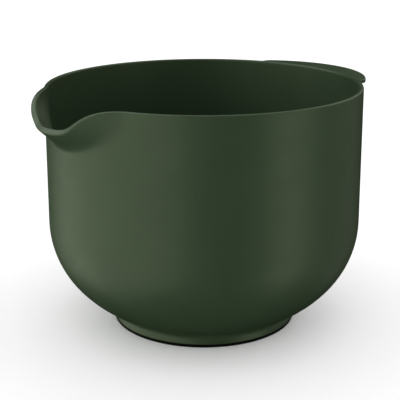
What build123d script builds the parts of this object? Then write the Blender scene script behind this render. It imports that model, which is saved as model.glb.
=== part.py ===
from build123d import *
from math import cos, exp, hypot, radians, sin
import os

# A mixing bowl with a pouring spout, a thumb grip and a non-slip ring, in millimetres.
# The origin is on the bowl's axis, in the plane that the ring stands on. +X runs to the
# spout, -X to the grip and +Z up.

RIM_RADIUS = 100.0
HEIGHT = 154.0
WALL = 2.7

# Outside of the bowl below its straight wall: the shoulder arc, then the belly arc.
STRAIGHT_WALL_BOTTOM = 67.7
SHOULDER_RADIUS = 61.5
SHOULDER_TURN = 41.5
BELLY_RADIUS = 76.9

FLOOR_LEVEL = 8.0
FLOOR_THICKNESS = 3.0
FLOOR_BLEND = 45.0

FOOT_RADIUS = 59.3
FOOT_WIDTH = 7.6
FOOT_CREASE = 2.5
FOOT_ROUNDING = 0.4

# The bowl stands on the ring's flange; the ring's tongue is pressed up into the foot.
RING_THICKNESS = 1.9
RING_INSET = 0.2
RING_ROUNDING = 0.4
GROOVE_WIDTH = 3.2
GROOVE_DEPTH = 4.0
TONGUE_CLEARANCE = 0.05
TONGUE_SHORTFALL = 0.5
TONGUE_LEAD_IN = 0.6

# The spout swells out of the wall within half an ellipse, as wide along the rim and as
# deep down the wall as given here. Its lip dips below the rim and is thicker.
SPOUT_SWELL = 47.0
SPOUT_HALF_WIDTH = 49.7
SPOUT_DEPTH = 31.4
SPOUT_SOFTNESS = 1.0
LIP_DIP = 15.3
LIP_DIP_HALF_WIDTH = 30.0
LIP_THICKENING = 1.04

GRIP_RADIUS = 65.0
GRIP_CENTRE = 50.5
GRIP_THICKNESS = WALL
GRIP_ROUNDING = 1.3

# Where the upper wall, which carries the spout, meets the turned lower bowl, and the arc
# of the wall on each side of the spout's middle that is drawn as a free curve.
UPPER_WALL_BOTTOM = HEIGHT - SPOUT_DEPTH - 2.5
SPOUT_ANGLE = 36.0
SPOUT_POINTS = 25
SPOUT_LEVELS = 10

# The dip's ends run out just above the rim, so that it cuts the rim cleanly.
LIP_RUN_OUT = 0.05
LIP_REACH = 1.6
LIP_POINTS = 17


def side_arcs(inset, end_height=None, end_radius=None):
    """The shoulder and belly arcs, moved in by an inset, down to a height or a radius."""
    shoulder_centre = Vector(RIM_RADIUS - SHOULDER_RADIUS, STRAIGHT_WALL_BOTTOM)
    inward = Vector(-cos(radians(SHOULDER_TURN)), sin(radians(SHOULDER_TURN)))
    belly_centre = shoulder_centre + inward * (BELLY_RADIUS - SHOULDER_RADIUS)
    radius = BELLY_RADIUS - inset
    if end_radius is None:
        end_radius = belly_centre.X + (radius**2 - (belly_centre.Y - end_height) ** 2) ** 0.5
    else:
        end_height = belly_centre.Y - (radius**2 - (end_radius - belly_centre.X) ** 2) ** 0.5
    shoulder = CenterArc(shoulder_centre, SHOULDER_RADIUS - inset, 0, -SHOULDER_TURN)
    belly = RadiusArc(shoulder @ 1, (end_radius, end_height), radius)
    return shoulder, belly


def groove_radii():
    """The inner and outer radius of the groove under the foot."""
    inside = FOOT_RADIUS - (FOOT_WIDTH + GROOVE_WIDTH) / 2
    return inside, inside + GROOVE_WIDTH


def rounded(section, radius, height, rounding):
    """A section with its corner nearest to a radius and a height rounded."""
    corners = section.vertices()
    corner = min(corners, key=lambda c: hypot(c.X - radius, c.Y - height))
    return fillet(corner, rounding)


def lower_bowl():
    """The bowl below its spout, turned, with its floor and its grooved foot."""
    shoulder_out, belly_out = side_arcs(0, end_radius=FOOT_RADIUS)
    shoulder_in, belly_in = side_arcs(WALL, end_height=FLOOR_LEVEL)
    foot_inside = FOOT_RADIUS - FOOT_WIDTH
    groove_inside, groove_outside = groove_radii()
    groove_top = RING_THICKNESS + GROOVE_DEPTH
    underside = FLOOR_LEVEL - FLOOR_THICKNESS
    foot = Polyline(
        belly_out @ 1,
        (FOOT_RADIUS, RING_THICKNESS),
        (groove_outside, RING_THICKNESS),
        (groove_outside, groove_top),
        (groove_inside, groove_top),
        (groove_inside, RING_THICKNESS),
        (foot_inside, RING_THICKNESS),
        (foot_inside, underside),
        (0, underside),
        (0, FLOOR_LEVEL),
        belly_in @ 1,
    )
    top = Polyline(
        shoulder_in @ 0,
        (RIM_RADIUS - WALL, UPPER_WALL_BOTTOM),
        (RIM_RADIUS, UPPER_WALL_BOTTOM),
        shoulder_out @ 0,
    )
    arcs = [shoulder_out, belly_out, belly_in, shoulder_in]
    section = make_face(arcs + foot.edges() + top.edges())
    section = rounded(section, (belly_in @ 1).X, FLOOR_LEVEL, FLOOR_BLEND)
    section = rounded(section, FOOT_RADIUS, (belly_out @ 1).Y, FOOT_CREASE)
    section = rounded(section, FOOT_RADIUS, RING_THICKNESS, FOOT_ROUNDING)
    section = rounded(section, foot_inside, RING_THICKNESS, FOOT_ROUNDING)
    return revolve(Plane.XZ * section, Axis.Z)


def swell(across, depth):
    """How far the spout stands out, and how fast that changes across it and down it."""
    within = 1 - (across / SPOUT_HALF_WIDTH) ** 2 - (depth / SPOUT_DEPTH) ** 2
    if within <= 0:
        return 0.0, 0.0, 0.0
    softened = within + SPOUT_SOFTNESS
    out = SPOUT_SWELL * within**2 / softened
    rate = SPOUT_SWELL * within * (within + 2 * SPOUT_SOFTNESS) / softened**2
    return out, rate * -2 * across / SPOUT_HALF_WIDTH**2, rate * -2 * depth / SPOUT_DEPTH**2


def spout_point(angle, depth, inner):
    """A point of the spout's outside, or of its inside, at a depth below the rim."""
    along, across = RIM_RADIUS * cos(angle), RIM_RADIUS * sin(angle)
    out, across_rate, depth_rate = swell(across, depth)
    outside = Vector(along + out, across, HEIGHT - depth)
    if not inner:
        return outside
    normal = Vector(along, across - across_rate * along).normalized()
    flare = -depth_rate * normal.X
    return outside - normal * WALL * (1 + LIP_THICKENING * flare)


def wall_ring(depth, inner):
    """The outline of the upper wall at a depth below the rim: the spout and the round rest."""
    radius = RIM_RADIUS - WALL * inner
    level = Pos(0, 0, HEIGHT - depth)
    rest = level * CenterArc((0, 0), radius, SPOUT_ANGLE, 360 - 2 * SPOUT_ANGLE)
    if depth > SPOUT_DEPTH:
        return Wire([rest, level * CenterArc((0, 0), radius, -SPOUT_ANGLE, 2 * SPOUT_ANGLE)])
    step = 2 * SPOUT_ANGLE / (SPOUT_POINTS - 1)
    angles = [radians(i * step - SPOUT_ANGLE) for i in range(1, SPOUT_POINTS - 1)]
    points = [rest @ 1] + [spout_point(angle, depth, inner) for angle in angles] + [rest @ 0]
    evenly = [i / (SPOUT_POINTS - 1) for i in range(SPOUT_POINTS)]
    spout = Edge.make_spline(points, tangents=[rest % 1, rest % 0], parameters=evenly)
    return Wire([rest, spout])


def upper_wall():
    """The wall that carries the spout, from below the spout to the rim."""
    turns = [radians(90 * i / SPOUT_LEVELS) for i in range(SPOUT_LEVELS + 1)]
    depths = [HEIGHT - UPPER_WALL_BOTTOM] + [SPOUT_DEPTH * cos(turn) for turn in turns]
    outside, hollow = [Solid.make_loft([wall_ring(d, inner) for d in depths]) for inner in (0, 1)]
    return outside - hollow


def above_the_lip():
    """What the dip of the spout's lip takes off the wall."""
    half = LIP_REACH * LIP_DIP_HALF_WIDTH
    across = [half * (2 * i / (LIP_POINTS - 1) - 1) for i in range(LIP_POINTS)]
    drops = [LIP_DIP * exp(-((y / LIP_DIP_HALF_WIDTH) ** 4)) for y in across]
    slope = drops[0] * 4 * LIP_REACH**3 / LIP_DIP_HALF_WIDTH
    points = [(y, HEIGHT + LIP_RUN_OUT - drop) for y, drop in zip(across, drops)]
    lip = Spline(points, tangents=[(1, -slope), (1, slope)])
    right, left = lip @ 1 + Vector(1, slope) * LIP_DIP, lip @ 0 + Vector(-1, slope) * LIP_DIP
    top = HEIGHT + LIP_DIP
    over = Polyline(lip @ 1, right, (right.X, top), (left.X, top), left, lip @ 0)
    return extrude(Plane.YZ * make_face([lip] + over.edges()), 2 * RIM_RADIUS)


def grip():
    """The flat crescent beside the rim, opposite the spout."""
    disc = Cylinder(GRIP_RADIUS, GRIP_THICKNESS)
    disc = Pos(-GRIP_CENTRE, 0, 0) * fillet(disc.edges().filter_by(GeomType.CIRCLE), GRIP_ROUNDING)
    crescent = disc - Cylinder(RIM_RADIUS - WALL / 2, 2 * GRIP_THICKNESS)
    return Pos(0, 0, HEIGHT - GRIP_THICKNESS / 2) * crescent


def bowl_body():
    """The one-piece moulding: wall, spout, grip, floor and foot."""
    return lower_bowl() + (upper_wall() - above_the_lip() + grip())


def non_slip_ring():
    """The black ring: a flange under the foot and a tongue that sits in the foot's groove."""
    outside = FOOT_RADIUS - RING_INSET
    inside = FOOT_RADIUS - FOOT_WIDTH + RING_INSET
    groove_inside, groove_outside = groove_radii()
    tongue_inside = groove_inside + TONGUE_CLEARANCE
    tongue_outside = groove_outside - TONGUE_CLEARANCE
    tongue_top = RING_THICKNESS + GROOVE_DEPTH - TONGUE_SHORTFALL
    outline = Polyline(
        (inside, 0),
        (outside, 0),
        (outside, RING_THICKNESS),
        (tongue_outside, RING_THICKNESS),
        (tongue_outside, tongue_top),
        (tongue_inside, tongue_top),
        (tongue_inside, RING_THICKNESS),
        (inside, RING_THICKNESS),
        close=True,
    )
    section = make_face(outline)
    section = rounded(section, outside, 0, RING_ROUNDING)
    section = rounded(section, inside, 0, RING_ROUNDING)
    section = rounded(section, tongue_outside, tongue_top, TONGUE_LEAD_IN)
    section = rounded(section, tongue_inside, tongue_top, TONGUE_LEAD_IN)
    return revolve(Plane.XZ * section, Axis.Z)


os.makedirs("parts", exist_ok=True)
for node in (bowl_body, non_slip_ring):
    export_step(node(), f"parts/{node.__name__}.step")
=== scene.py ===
from math import atan2, cos, exp, hypot, pi, radians, sin, sqrt, tanh

import bpy
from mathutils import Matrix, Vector


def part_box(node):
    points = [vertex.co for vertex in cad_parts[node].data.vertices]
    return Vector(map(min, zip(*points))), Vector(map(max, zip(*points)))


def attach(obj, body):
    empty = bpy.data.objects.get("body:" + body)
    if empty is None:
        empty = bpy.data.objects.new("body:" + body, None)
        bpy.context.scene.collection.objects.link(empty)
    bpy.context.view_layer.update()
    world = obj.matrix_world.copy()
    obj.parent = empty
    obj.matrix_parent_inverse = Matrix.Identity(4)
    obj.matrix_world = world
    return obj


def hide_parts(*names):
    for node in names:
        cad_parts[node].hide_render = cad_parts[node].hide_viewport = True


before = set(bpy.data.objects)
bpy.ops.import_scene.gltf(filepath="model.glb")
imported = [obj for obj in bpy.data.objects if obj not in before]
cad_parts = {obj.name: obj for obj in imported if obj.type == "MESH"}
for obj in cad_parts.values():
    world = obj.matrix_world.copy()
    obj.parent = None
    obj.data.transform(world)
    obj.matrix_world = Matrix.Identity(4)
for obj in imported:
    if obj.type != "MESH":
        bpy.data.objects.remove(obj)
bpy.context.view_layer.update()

# ------------------------------------------------------------------ the bowl's dimensions
# In metres, in the CAD frame: the axis is Z, the spout is at +X and the grip at -X.
MM = 0.001

bowl_low, bowl_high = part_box("bowl_body")
ring_low, ring_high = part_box("non_slip_ring")

HEIGHT = bowl_high.z
RIM_RADIUS = bowl_high.y
WALL = 2.7 * MM

STRAIGHT_WALL_BOTTOM = 67.7 * MM
SHOULDER_RADIUS = 61.5 * MM
SHOULDER_TURN = radians(41.5)
BELLY_RADIUS = 76.9 * MM

FLOOR_LEVEL = 8.0 * MM
FLOOR_THICKNESS = 3.0 * MM
FLOOR_BLEND = 45.0 * MM

RING_THICKNESS = bowl_low.z
RING_INSET = 0.2 * MM
RING_ROUNDING = 0.4 * MM
FOOT_RADIUS = ring_high.x + RING_INSET
FOOT_WIDTH = 7.6 * MM
# Softer than the solid's crease, as in the photograph.
FOOT_CREASE = 5.0 * MM
FOOT_ROUNDING = 0.4 * MM
GROOVE_WIDTH = 3.2 * MM
GROOVE_DEPTH = 4.0 * MM
TONGUE_CLEARANCE = 0.05 * MM
TONGUE_LEAD_IN = 0.6 * MM

SPOUT_SWELL = 47.0 * MM
SPOUT_HALF_WIDTH = 49.7 * MM
SPOUT_DEPTH = 31.4 * MM
SPOUT_SOFTNESS = 1.0
LIP_DIP = 15.3 * MM
LIP_DIP_HALF_WIDTH = 30.0 * MM
LIP_THICKENING = 1.04
RIM_ROUNDING = 1.0 * MM

GRIP_RADIUS = 65.0 * MM
GRIP_CENTRE = -bowl_low.x - GRIP_RADIUS
# Where the grip's tips start, as an angle from the spout, and how much angle their rounded
# corners take. The solid's thin tips run on further.
GRIP_END = radians(150.8)
GRIP_CORNER = radians(2.5)
GRIP_FILLET = 1.5 * MM
GRIP_DROOP = 0.6 * MM

# The grip's rounded edge and its fillet grow with how far it stands out. Where it stands out
# by this many of their radii, they have about three quarters of their full size.
GRIP_SOFTENING = 3

# How the bowl's mesh is divided: (angle from the spout in degrees, columns up to it), and
# rows along each stretch of the section.
COLUMNS = ((36, 36), (138, 68), (150.3, 16), (152.8, 25), (156, 12), (180, 24))
JOIN_DEPTH = SPOUT_DEPTH + 4 * MM
STRAIGHT_ROWS = 12
SHOULDER_ROWS = 16
BELLY_ROWS = 12
BLEND_ROWS = 8
CREASE_ROWS = 6
CORNER_ROWS = 4
FLOOR_ROWS = 8
UNDERSIDE_ROWS = 11
UPPER_ROWS = 24
FLAT_ROWS = 12
EDGE_ROWS = 5
RING_COLUMNS = 240

# A fan of triangles closes the middle of the floor and of the underside. Its radius is the
# flat's radius divided by this.
FAN_DIVISOR = 12
# How often the depth of the lip's rounding is worked out again from the wall's slope there.
LIP_DEPTH_ROUNDS = 8
SHARP_EDGE = radians(35)


# ------------------------------------------------------------------ mesh helpers
def arc(centre, radius, start, end, steps):
    """Points of radius and height along an arc, its first point left out."""
    turns = [start + (end - start) * i / steps for i in range(1, steps + 1)]
    return [(centre[0] + radius * cos(t), centre[1] + radius * sin(t)) for t in turns]


def line(start, end, steps):
    """Points of radius and height along a straight stretch, its first point left out."""
    return [
        tuple(a + (b - a) * i / steps for a, b in zip(start, end)) for i in range(1, steps + 1)
    ]


def turned(points, angle):
    """Points of radius and height, turned to an angle about the bowl's axis."""
    return [Vector((r * cos(angle), r * sin(angle), z)) for r, z in points]


def mesh_piece(name, columns, closed_section):
    """A mesh of quads from columns of points that go once round the bowl's axis."""
    rows, count = len(columns[0]), len(columns)
    points = [point for column in columns for point in column]
    last = rows if closed_section else rows - 1
    faces = []
    for c in range(count):
        here, there = c * rows, (c + 1) % count * rows
        for r in range(last):
            up = (r + 1) % rows
            faces.append((here + r, there + r, there + up, here + up))
    if not closed_section:
        for row in (0, rows - 1):
            points.append(Vector((0, 0, columns[0][row].z)))
            ends = [(c * rows + row, (c + 1) % count * rows + row) for c in range(count)]
            pole = len(points) - 1
            faces += [(b, a, pole) if row == 0 else (a, b, pole) for a, b in ends]
    mesh = bpy.data.meshes.new(name)
    mesh.from_pydata(points, [], faces)
    mesh.validate()
    mesh.polygons.foreach_set("use_smooth", [True] * len(mesh.polygons))
    mesh.set_sharp_from_angle(angle=SHARP_EDGE)
    piece = bpy.data.objects.new(name, mesh)
    bpy.context.scene.collection.objects.link(piece)
    return piece


# ------------------------------------------------------------------ the bowl
BELLY_CENTRE = (
    RIM_RADIUS - SHOULDER_RADIUS - (BELLY_RADIUS - SHOULDER_RADIUS) * cos(SHOULDER_TURN),
    STRAIGHT_WALL_BOTTOM + (BELLY_RADIUS - SHOULDER_RADIUS) * sin(SHOULDER_TURN),
)
SHOULDER_CENTRE = (RIM_RADIUS - SHOULDER_RADIUS, STRAIGHT_WALL_BOTTOM)
JOIN_LEVEL = HEIGHT - JOIN_DEPTH
FOOT_INSIDE = FOOT_RADIUS - FOOT_WIDTH
GROOVE_INSIDE = FOOT_RADIUS - (FOOT_WIDTH + GROOVE_WIDTH) / 2
GROOVE_OUTSIDE = GROOVE_INSIDE + GROOVE_WIDTH


def inside_section():
    """The bowl's inside from the middle of its floor up to where the spout may begin."""
    belly_radius = BELLY_RADIUS - WALL
    blend_level = FLOOR_LEVEL + FLOOR_BLEND
    apart = belly_radius - FLOOR_BLEND
    rise = BELLY_CENTRE[1] - blend_level
    blend_centre = (BELLY_CENTRE[0] + sqrt(apart**2 - rise**2), blend_level)
    meeting = -atan2(rise, blend_centre[0] - BELLY_CENTRE[0])
    points = [(blend_centre[0] / FAN_DIVISOR, FLOOR_LEVEL)]
    points += line(points[-1], (blend_centre[0], FLOOR_LEVEL), FLOOR_ROWS)
    points += arc(blend_centre, FLOOR_BLEND, -pi / 2, meeting, BLEND_ROWS)
    points += arc(BELLY_CENTRE, belly_radius, meeting, -SHOULDER_TURN, BELLY_ROWS)
    shoulder_radius = SHOULDER_RADIUS - WALL
    points += arc(SHOULDER_CENTRE, shoulder_radius, -SHOULDER_TURN, 0, SHOULDER_ROWS)
    return points + line(points[-1], (RIM_RADIUS - WALL, JOIN_LEVEL), STRAIGHT_ROWS)


def outside_section():
    """The bowl's outside from below the spout down to the middle of its underside."""
    crease_reach = FOOT_RADIUS + FOOT_CREASE - BELLY_CENTRE[0]
    crease_drop = sqrt((BELLY_RADIUS + FOOT_CREASE) ** 2 - crease_reach**2)
    crease_centre = (FOOT_RADIUS + FOOT_CREASE, BELLY_CENTRE[1] - crease_drop)
    crease_turn = atan2(crease_drop, crease_reach)
    foot_top = RING_THICKNESS + FOOT_ROUNDING
    groove_top = RING_THICKNESS + GROOVE_DEPTH
    underside = FLOOR_LEVEL - FLOOR_THICKNESS
    outer_corner = (FOOT_RADIUS - FOOT_ROUNDING, foot_top)
    inner_corner = (FOOT_INSIDE + FOOT_ROUNDING, foot_top)
    wall_bottom = (RIM_RADIUS, STRAIGHT_WALL_BOTTOM)
    points = line((RIM_RADIUS, JOIN_LEVEL), wall_bottom, STRAIGHT_ROWS)
    points += arc(SHOULDER_CENTRE, SHOULDER_RADIUS, 0, -SHOULDER_TURN, SHOULDER_ROWS)
    points += arc(BELLY_CENTRE, BELLY_RADIUS, -SHOULDER_TURN, -crease_turn, BELLY_ROWS)
    points += arc(crease_centre, FOOT_CREASE, pi - crease_turn, pi, CREASE_ROWS)
    points += line(points[-1], (FOOT_RADIUS, foot_top), 4)
    points += arc(outer_corner, FOOT_ROUNDING, 0, -pi / 2, CORNER_ROWS)
    points += line(points[-1], (GROOVE_OUTSIDE, RING_THICKNESS), 2)
    points += line(points[-1], (GROOVE_OUTSIDE, groove_top), 3)
    points += line(points[-1], (GROOVE_INSIDE, groove_top), 2)
    points += line(points[-1], (GROOVE_INSIDE, RING_THICKNESS), 3)
    points += line(points[-1], (inner_corner[0], RING_THICKNESS), 2)
    points += arc(inner_corner, FOOT_ROUNDING, -pi / 2, -pi, CORNER_ROWS)
    points += line(points[-1], (FOOT_INSIDE, underside), 3)
    return points + line(points[-1], (FOOT_INSIDE / FAN_DIVISOR, underside), UNDERSIDE_ROWS)


def swell(across, depth):
    """How far the spout stands out, and how fast that changes across it and down it."""
    within = 1 - (across / SPOUT_HALF_WIDTH) ** 2 - (depth / SPOUT_DEPTH) ** 2
    if within <= 0:
        return 0.0, 0.0, 0.0
    softened = within + SPOUT_SOFTNESS
    out = SPOUT_SWELL * within**2 / softened
    rate = SPOUT_SWELL * within * (within + 2 * SPOUT_SOFTNESS) / softened**2
    return out, rate * -2 * across / SPOUT_HALF_WIDTH**2, rate * -2 * depth / SPOUT_DEPTH**2


def wall_at(angle, depth):
    """The wall's outside at a depth below the rim: point, normal, way up and thickness."""
    along, across = RIM_RADIUS * cos(angle), RIM_RADIUS * sin(angle)
    out, across_rate, depth_rate = swell(across, depth) if along > 0 else (0.0, 0.0, 0.0)
    around = Vector((across_rate * along - across, along, 0))
    down = Vector((depth_rate, 0, -1)).normalized()
    normal = down.cross(around).normalized()
    thickness = WALL * (hypot(normal.x, normal.y) - LIP_THICKENING * normal.z)
    return Vector((along + out, across, HEIGHT - depth)), normal, -down, thickness


def lip_depth(angle):
    """The depth at which the rounding of the rim, or of the spout's lip, starts outside."""
    across = RIM_RADIUS * sin(angle)
    dip = LIP_DIP * exp(-((across / LIP_DIP_HALF_WIDTH) ** 4)) if cos(angle) > 0 else 0.0
    depth = dip
    for _ in range(LIP_DEPTH_ROUNDS):
        normal, up, thickness = wall_at(angle, depth)[1:]
        depth = dip - thickness / 2 * normal.z + RIM_ROUNDING * up.z
    return depth


def grip_reach(angle):
    """How far the grip stands out of the rim, from one of its rounded corners to the other."""
    inward = (abs(angle) - GRIP_END) / GRIP_CORNER
    if inward <= 0:
        return 0.0
    half_chord = sqrt(GRIP_RADIUS**2 - (GRIP_CENTRE * sin(angle)) ** 2)
    reach = half_chord - GRIP_CENTRE * cos(angle) - RIM_RADIUS
    return reach * sqrt(1 - max(0.0, 1 - inward) ** 2)


def quarter_turns():
    """The angles of a rounded edge's rows."""
    return [pi / 2 * row / EDGE_ROWS for row in range(1, EDGE_ROWS + 1)]


def over_the_rim(centre, normal, up, flat):
    """The rim from its rounded inside edge, over its flat top, to its rounded outside edge."""
    outer = centre + normal * flat
    points = [centre + (up * sin(t) - normal * cos(t)) * RIM_ROUNDING for t in quarter_turns()]
    for row in range(1, FLAT_ROWS + 1):
        points.append(centre + up * RIM_ROUNDING + normal * flat * row / FLAT_ROWS)
    points += [outer + (normal * sin(t) + up * cos(t)) * RIM_ROUNDING for t in quarter_turns()]
    return points


def under_the_grip(reach):
    """How far out and how far down each row goes from the grip's edge to the wall."""
    edge = RIM_ROUNDING * tanh(reach / (GRIP_SOFTENING * RIM_ROUNDING))
    fillet = GRIP_FILLET * tanh(reach / (GRIP_SOFTENING * GRIP_FILLET))
    flat = reach - edge - fillet
    straight = WALL - 2 * RIM_ROUNDING
    bottom = straight + RIM_ROUNDING
    rows = [(reach, straight)]
    for turn in quarter_turns():
        rows.append((reach - edge * (1 - cos(turn)), straight + RIM_ROUNDING * sin(turn)))
    for row in range(1, EDGE_ROWS + 1):
        share = row / EDGE_ROWS
        rows.append((reach - edge - flat * share, bottom + GRIP_DROOP * share))
    for turn in quarter_turns():
        drop = bottom + GRIP_DROOP + GRIP_FILLET * (1 - cos(turn))
        rows.append((fillet * (1 - sin(turn)), drop))
    return rows


def bowl_column(angle, inside, outside):
    """The whole section of the bowl at an angle, from floor to rim to underside."""
    top = lip_depth(angle)
    point, normal, up, thickness = wall_at(angle, top)
    reach = grip_reach(angle)
    points = turned(inside, angle)
    for row in range(1, UPPER_ROWS + 1):
        depth = JOIN_DEPTH + (top - JOIN_DEPTH) * row / UPPER_ROWS
        outer, outer_normal, _, wall = wall_at(angle, depth)
        points.append(outer - outer_normal * wall)
    inner_edge = point - normal * (thickness - RIM_ROUNDING)
    points += over_the_rim(inner_edge, normal, up, thickness - 2 * RIM_ROUNDING + reach)
    for out, drop in under_the_grip(reach):
        outer, outer_normal = wall_at(angle, top + drop)[:2]
        points.append(outer + outer_normal * out)
    start = top + drop
    for row in range(1, UPPER_ROWS + 1):
        depth = start + (JOIN_DEPTH - start) * row / UPPER_ROWS
        points.append(wall_at(angle, depth)[0])
    return points + turned(outside, angle)


def column_angles():
    """The angles of the bowl's columns, closest together at the grip's corners."""
    half, start = [0.0], 0
    for end, count in COLUMNS:
        half += [start + (end - start) * i / count for i in range(1, count + 1)]
        start = end
    return [radians(a) for a in half] + [-radians(a) for a in reversed(half[1:-1])]


def bowl():
    """The one-piece moulding, from the middle of its floor to the middle of its underside."""
    inside, outside = inside_section(), outside_section()
    columns = [bowl_column(angle, inside, outside) for angle in column_angles()]
    piece = mesh_piece("bowl_moulding", columns, closed_section=False)
    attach(piece, "bowl")
    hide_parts("bowl_body")
    return piece


# ------------------------------------------------------------------ the ring
def ring():
    """The rubber ring: a flat flange, and a tongue that sits in the foot's groove."""
    inside, outside = FOOT_INSIDE + RING_INSET, FOOT_RADIUS - RING_INSET
    tongue_inside = GROOVE_INSIDE + TONGUE_CLEARANCE
    tongue_outside = GROOVE_OUTSIDE - TONGUE_CLEARANCE
    lead_top = ring_high.z - TONGUE_LEAD_IN
    section = [(inside + RING_ROUNDING, 0.0)]
    section += line(section[-1], (outside - RING_ROUNDING, 0.0), 6)
    outer_corner = (outside - RING_ROUNDING, RING_ROUNDING)
    section += arc(outer_corner, RING_ROUNDING, -pi / 2, 0, CORNER_ROWS)
    section += line(section[-1], (outside, RING_THICKNESS), 2)
    section += line(section[-1], (tongue_outside, RING_THICKNESS), 1)
    section += line(section[-1], (tongue_outside, lead_top), 3)
    lead_in = (tongue_outside - TONGUE_LEAD_IN, lead_top)
    section += arc(lead_in, TONGUE_LEAD_IN, 0, pi / 2, CORNER_ROWS)
    section += line(section[-1], (tongue_inside + TONGUE_LEAD_IN, ring_high.z), 2)
    lead_in = (tongue_inside + TONGUE_LEAD_IN, lead_top)
    section += arc(lead_in, TONGUE_LEAD_IN, pi / 2, pi, CORNER_ROWS)
    section += line(section[-1], (tongue_inside, RING_THICKNESS), 3)
    section += line(section[-1], (inside, RING_THICKNESS), 1)
    section += line(section[-1], (inside, RING_ROUNDING), 2)
    inner_corner = (inside + RING_ROUNDING, RING_ROUNDING)
    section += arc(inner_corner, RING_ROUNDING, pi, 3 * pi / 2, CORNER_ROWS)[:-1]
    angles = [2 * pi * i / RING_COLUMNS for i in range(RING_COLUMNS)]
    piece = mesh_piece("rubber_ring", [turned(section, a) for a in angles], closed_section=True)
    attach(piece, "ring")
    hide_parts("non_slip_ring")
    return piece


# ------------------------------------------------------------------ materials
# The darkest and lightest colour of each material, the range of its roughness and its gloss.
GREEN_DARK = (0.0166, 0.0312, 0.0150)
GREEN_LIGHT = (0.0194, 0.0366, 0.0176)
GREEN_ROUGHNESS = (0.40, 0.48)
GREEN_SHEEN = (0.86, 1.0, 0.76, 1)
BLACK = (0.0012, 0.0024)
BLACK_ROUGHNESS = (0.6, 0.75)
BLACK_SPECULAR = 0.04

# Noise, as cells per metre and levels of detail, and where a ramp over it starts and ends.
GREEN_SPECKLE = (900, 4)
GREEN_MOTTLE = (60, 3)
BLACK_SPECKLE = (300, 3)
BLACK_MOTTLE = (150, 2)
RAMP_STOPS = (0.3, 0.7)

# The moulded grain: its noise, how strong it is on each material and how deep it goes.
GREEN_GRAIN = (1800, 3)
BLACK_GRAIN = (1200, 3)
GREEN_GRAIN_STRENGTH = 0.15
BLACK_GRAIN_STRENGTH = 0.3
GRAIN_DEPTH = 0.05 * MM


def new_material(name):
    """A material with a Principled shader: the material, its node tree and that shader."""
    material = bpy.data.materials.new(name)
    material.use_nodes = True
    tree = material.node_tree
    return material, tree, tree.nodes["Principled BSDF"]


def noise(tree, scale, detail):
    """A noise texture in the piece's own coordinates."""
    place = tree.nodes.new("ShaderNodeTexCoord")
    texture = tree.nodes.new("ShaderNodeTexNoise")
    texture.inputs["Scale"].default_value = scale
    texture.inputs["Detail"].default_value = detail
    tree.links.new(place.outputs["Object"], texture.inputs["Vector"])
    return texture.outputs["Fac"]


def ramp(tree, value, low, high):
    """A noise value turned into a colour from low to high."""
    node = tree.nodes.new("ShaderNodeValToRGB")
    for stop, place, colour in zip(node.color_ramp.elements, RAMP_STOPS, (low, high)):
        stop.position = place
        stop.color = (*colour, 1)
    tree.links.new(value, node.inputs["Fac"])
    return node.outputs["Color"]


def greys(levels):
    """The two grey colours with the levels given."""
    return [(level,) * 3 for level in levels]


def grained(tree, shader, grain, strength):
    """A fine moulded grain as bump."""
    bump = tree.nodes.new("ShaderNodeBump")
    bump.inputs["Strength"].default_value = strength
    bump.inputs["Distance"].default_value = GRAIN_DEPTH
    tree.links.new(noise(tree, *grain), bump.inputs["Height"])
    tree.links.new(bump.outputs["Normal"], shader.inputs["Normal"])


def green_plastic():
    """Dark green moulded plastic: satin, with a fine speckle and an almost unseen mottle."""
    material, tree, shader = new_material("green_moulded_plastic")
    colour = ramp(tree, noise(tree, *GREEN_SPECKLE), GREEN_DARK, GREEN_LIGHT)
    tree.links.new(colour, shader.inputs["Base Color"])
    dull = ramp(tree, noise(tree, *GREEN_MOTTLE), *greys(GREEN_ROUGHNESS))
    tree.links.new(dull, shader.inputs["Roughness"])
    shader.inputs["Specular Tint"].default_value = GREEN_SHEEN
    grained(tree, shader, GREEN_GRAIN, GREEN_GRAIN_STRENGTH)
    return material


def black_rubber():
    """Black rubber with a dull, slightly dusty surface."""
    material, tree, shader = new_material("black_rubber")
    colour = ramp(tree, noise(tree, *BLACK_SPECKLE), *greys(BLACK))
    tree.links.new(colour, shader.inputs["Base Color"])
    dull = ramp(tree, noise(tree, *BLACK_MOTTLE), *greys(BLACK_ROUGHNESS))
    shader.inputs["Specular IOR Level"].default_value = BLACK_SPECULAR
    tree.links.new(dull, shader.inputs["Roughness"])
    grained(tree, shader, BLACK_GRAIN, BLACK_GRAIN_STRENGTH)
    return material


# ------------------------------------------------------------------ studio
# The camera was fitted to the photograph. The view's angle is from the spout's direction.
VIEW_ANGLE = radians(54.4)
CAMERA_DISTANCE = 0.6315
CAMERA_HEIGHT = 0.2671
CAMERA_PITCH = radians(14.54)
LENS = 91.14
SENSOR_WIDTH = 36.0
SENSOR_SHIFT = (-0.00995, -0.09875)
TOWARDS_CAMERA = Vector((cos(VIEW_ANGLE), sin(VIEW_ANGLE), 0))
RIGHT_OF_CAMERA = Vector((-sin(VIEW_ANGLE), cos(VIEW_ANGLE), 0))

WHITE = (1.0, 1.0, 1.0)
WARM_WHITE = (0.97, 1.0, 0.82)
ROOM_LIGHT = 0.6

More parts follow.
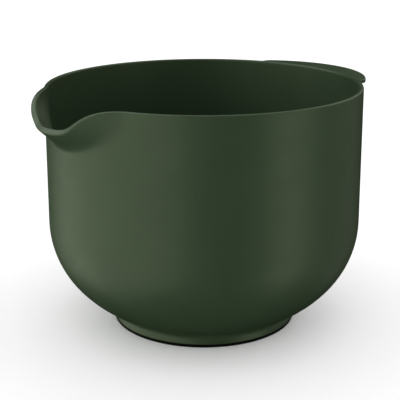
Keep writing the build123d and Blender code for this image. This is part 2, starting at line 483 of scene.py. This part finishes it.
# Each softbox: its turn from the camera round the bowl in degrees, its distance, height,
# width and tallness in metres, its brightness and its colour.
SOFTBOXES = (
    ("left_softbox", -68, 1.0, -0.1, 2.9, 1.8, 1.15, WARM_WHITE),
    ("high_left_softbox", -98, 0.8, 0.9, 1.4, 1.4, 1.6, WHITE),
    ("right_softbox", 60, 1.0, -0.05, 0.5, 1.6, 1.4, WARM_WHITE),
    ("far_right_softbox", 115, 1.1, -0.2, 0.8, 1.2, 0.22, WARM_WHITE),
    ("high_right_softbox", 125, 0.9, 0.9, 1.4, 1.4, 1.0, WARM_WHITE),
    ("top_softbox", -90, 0.1, 1.2, 1.8, 1.8, 0.6, WHITE),
)

FLOOR_REACH = 8.0
FLOOR_WHITE = (0.95, 0.95, 0.95, 1)
FLOOR_LIGHT_SIZE = 6.0
FLOOR_LIGHT_DISTANCE = 1.2
FLOOR_LIGHT_HEIGHT = 1.2
FLOOR_SOFTBOX_BRIGHTNESS = 0.40
FLOOR_FILL_BRIGHTNESS = 0.30


def floor():
    """A matt white floor, which the bowl's gloss doesn't mirror."""
    mesh = bpy.data.meshes.new("studio_floor")
    signs = ((-1, -1), (1, -1), (1, 1), (-1, 1))
    corners = [(x * FLOOR_REACH, y * FLOOR_REACH, 0) for x, y in signs]
    mesh.from_pydata(corners, [], [(0, 1, 2, 3)])
    plane = bpy.data.objects.new("studio_floor", mesh)
    bpy.context.scene.collection.objects.link(plane)
    plane.visible_glossy = False
    material, _, shader = new_material("studio_white")
    shader.inputs["Base Color"].default_value = FLOOR_WHITE
    shader.inputs["Roughness"].default_value = 1.0
    shader.inputs["Specular IOR Level"].default_value = 0.0
    mesh.materials.append(material)
    return plane


def softbox(name, place, aim, width, tall, brightness, colour, lit, shading):
    """A rectangular softbox that lights some objects, which only some others shade."""
    light = bpy.data.lights.new(name, "AREA")
    light.shape = "RECTANGLE"
    light.size, light.size_y = width, tall
    light.energy = brightness * pi * width * tall
    light.color = colour
    lamp = bpy.data.objects.new(name, light)
    bpy.context.scene.collection.objects.link(lamp)
    lamp.location = place
    lamp.rotation_euler = (aim - place).to_track_quat("-Z", "Y").to_euler()
    lamp.light_linking.receiver_collection = lit
    lamp.light_linking.blocker_collection = shading


def seen_at(turn, distance, height):
    """A place at a turn from the camera round the bowl's axis, to the right if positive."""
    sideways = TOWARDS_CAMERA * cos(turn) + RIGHT_OF_CAMERA * sin(turn)
    return sideways * distance + Vector((0, 0, height))


def group(name, members):
    """A collection, outside the scene's own, for a light to be linked to."""
    collection = bpy.data.collections.new(name)
    for member in members:
        collection.objects.link(member)
    return collection


def studio(bowl_piece, ring_piece):
    """An even room light, softboxes for the bowl and ring, and two lights for the floor."""
    world = bpy.data.worlds.new("studio_air")
    world.use_nodes = True
    background = world.node_tree.nodes["Background"]
    background.inputs["Color"].default_value = (*WHITE, 1)
    background.inputs["Strength"].default_value = ROOM_LIGHT
    bpy.context.scene.world = world
    world.cycles_visibility.glossy = False
    white_floor = floor()
    object_only = group("object_only", [bowl_piece, ring_piece])
    ring_only = group("ring_only", [ring_piece])
    floor_only = group("floor_only", [white_floor])
    middle = Vector((0, 0, HEIGHT / 2))
    for name, turn, distance, height, width, tall, brightness, colour in SOFTBOXES:
        place = seen_at(radians(turn), distance, height)
        softbox(name, place, middle, width, tall, brightness, colour, object_only, object_only)
    size = FLOOR_LIGHT_SIZE
    over = seen_at(pi, FLOOR_LIGHT_DISTANCE, FLOOR_LIGHT_HEIGHT)
    under = seen_at(pi, FLOOR_LIGHT_DISTANCE, 0)
    for name, brightness, shading in (
        ("floor_softbox", FLOOR_SOFTBOX_BRIGHTNESS, object_only),
        ("floor_fill", FLOOR_FILL_BRIGHTNESS, ring_only),
    ):
        softbox(name, over, under, size, size, brightness, WHITE, floor_only, shading)
    bpy.context.scene.view_settings.view_transform = "Standard"


def camera():
    """The photograph's view of the bowl."""
    data = bpy.data.cameras.new("camera")
    data.lens = LENS
    data.sensor_width = SENSOR_WIDTH
    data.shift_x, data.shift_y = SENSOR_SHIFT
    holder = bpy.data.objects.new("camera", data)
    bpy.context.scene.collection.objects.link(holder)
    holder.location = TOWARDS_CAMERA * CAMERA_DISTANCE + Vector((0, 0, CAMERA_HEIGHT))
    ahead = -TOWARDS_CAMERA * cos(CAMERA_PITCH) - Vector((0, 0, sin(CAMERA_PITCH)))
    holder.rotation_euler = ahead.to_track_quat("-Z", "Y").to_euler()
    bpy.context.scene.camera = holder


bowl_piece, ring_piece = bowl(), ring()
bowl_piece.data.materials.append(green_plastic())
ring_piece.data.materials.append(black_rubber())
studio(bowl_piece, ring_piece)
camera()
